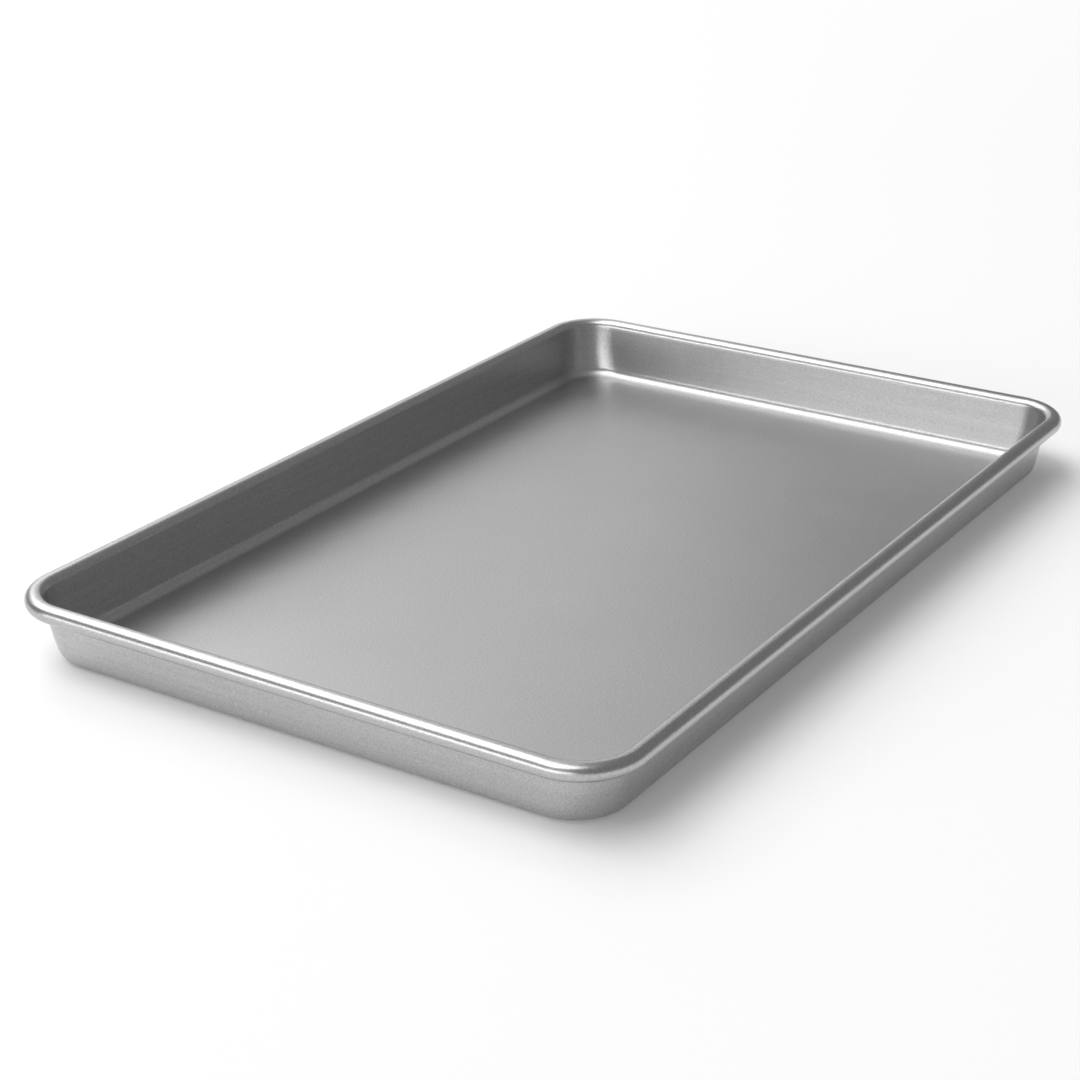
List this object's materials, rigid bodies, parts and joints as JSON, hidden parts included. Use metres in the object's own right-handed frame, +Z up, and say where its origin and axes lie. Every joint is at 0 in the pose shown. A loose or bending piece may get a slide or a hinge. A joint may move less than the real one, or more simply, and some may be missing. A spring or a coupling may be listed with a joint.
{
  "type": "jelly roll pan",
  "caption": "Shallow rectangular baking tray with leaning walls, rounded corners and a rim curled outward over a wire.",
  "frame": {"origin": "middle of the flat underside, on the surface that the pan stands on", "axes": "+X along the length, +Y across the width, +Z up out of the open top"},
  "size_m": [0.4, 0.26, 0.027],
  "materials": {
    "coated_sheet": "satin grey metallic non-stick coat, fine grain",
    "steel_wire": "drawn round wire, bare"
  },
  "bodies": {
    "root": {"pan_shell": "coated_sheet", "rim_wire": "steel_wire"}
  },
  "joints": []
}
